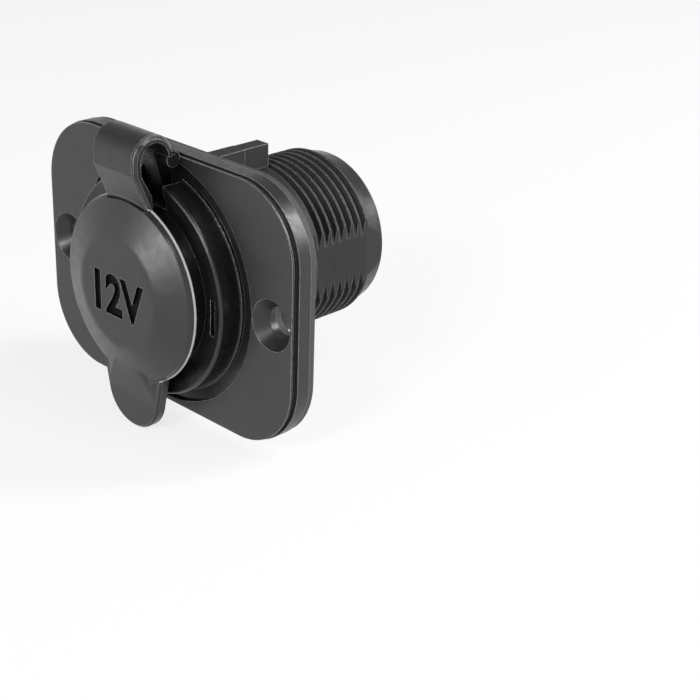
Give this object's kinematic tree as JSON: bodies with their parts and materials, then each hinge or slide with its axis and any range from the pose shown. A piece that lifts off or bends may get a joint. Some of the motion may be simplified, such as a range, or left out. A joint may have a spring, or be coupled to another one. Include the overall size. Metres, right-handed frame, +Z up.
{
  "type": "panel-mounted 12 V power socket",
  "caption": "Panel-mounted low-voltage power socket with a rounded oblong flange, a threaded barrel with flats and a hinged flip cap.",
  "frame": {"origin": "centre of the screw pattern in the gasket's back face, on the axis of the barrel", "axes": "+X to the right as seen from the front, +Y along the barrel into the panel, +Z up towards the hinge"},
  "size_m": [0.058, 0.0524, 0.0485],
  "materials": {
    "plate_plastic": "satin black moulded plastic",
    "gasket_rubber": "matt black rubber sheet",
    "body_plastic": "satin black moulded plastic",
    "cap_plastic": "satin black moulded plastic",
    "seal_rubber": "matt black rubber",
    "pin_steel": "drawn steel",
    "contact_nickel": "nickel-plated",
    "insulator": "phenolic",
    "board": "phenolic board",
    "terminal_brass": "brass sheet",
    "terminal_tin": "tin-plated sheet"
  },
  "bodies": {
    "housing": {"socket_body": "body_plastic", "flange_plate": "plate_plastic", "flange_gasket": "gasket_rubber", "hinge_pin": "pin_steel", "contact_cup": "contact_nickel", "centre_insulator": "insulator", "centre_contact": "contact_nickel", "contact_washer": "pin_steel", "terminal_board": "board", "positive_terminal": "terminal_brass", "negative_terminal": "terminal_tin", "negative_rivet": "contact_nickel"},
    "cap": {"cap": "cap_plastic", "cap_seal": "seal_rubber"}
  },
  "joints": [
    {"name": "cap_hinge", "type": "hinge", "parent": "housing", "child": "cap", "pos_m": [0, -0.00585, 0.0207], "axis": [-1, 0, 0], "range_deg": [0, 90]}
  ]
}
